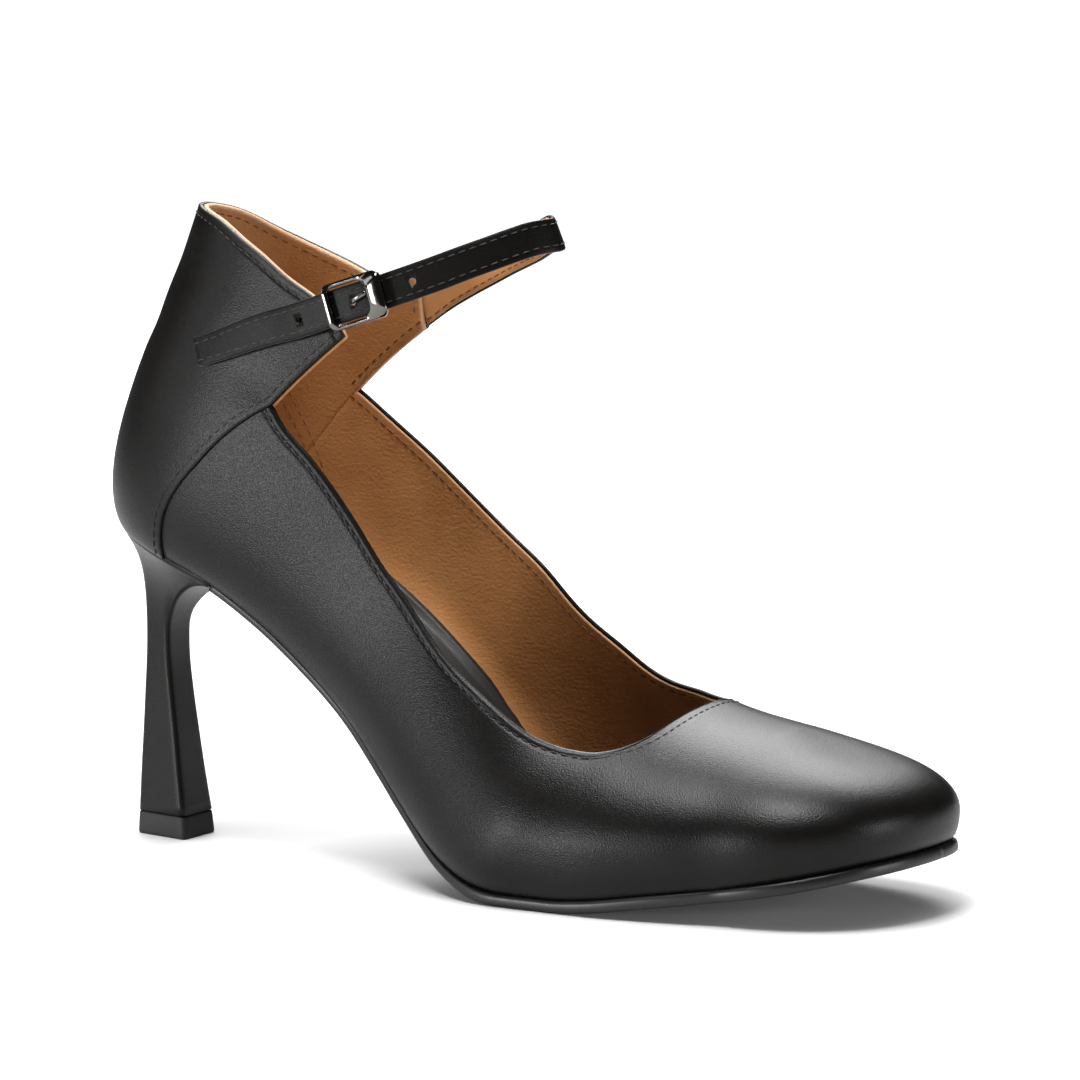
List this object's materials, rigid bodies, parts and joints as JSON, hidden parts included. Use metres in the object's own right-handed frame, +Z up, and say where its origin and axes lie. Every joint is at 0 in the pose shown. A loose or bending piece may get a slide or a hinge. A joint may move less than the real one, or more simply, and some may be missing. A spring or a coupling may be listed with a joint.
{
  "type": "ankle strap pump",
  "caption": "Right ankle strap pump with a slender flared heel, a high rear panel, a deep throat and a side buckle.",
  "frame": {"origin": "middle of the heel tip's tread face, on the floor", "axes": "+X to the toe, +Y to the inner side of the foot, +Z up"},
  "size_m": [0.2204, 0.0816, 0.1558],
  "materials": {
    "upper_leather": "smooth fine-grained black leather with a soft sheen, lined with tan leather",
    "sole_edge": "black sole with a smooth edge",
    "sock_leather": "black smooth sock",
    "heel_leather": "smooth black leather wrapped round the heel",
    "tip_rubber": "matte black top piece",
    "strap_leather": "black leather with stitched edges and a tan back",
    "dark_nickel": "dark polished nickel"
  },
  "bodies": {
    "root": {"upper": "upper_leather", "outsole": "sole_edge", "insole": "sock_leather", "heel": "heel_leather", "top_piece": "tip_rubber", "ankle_strap": "strap_leather", "buckle_frame": "dark_nickel", "buckle_prong": "dark_nickel", "buckle_loop": "strap_leather"}
  },
  "joints": []
}
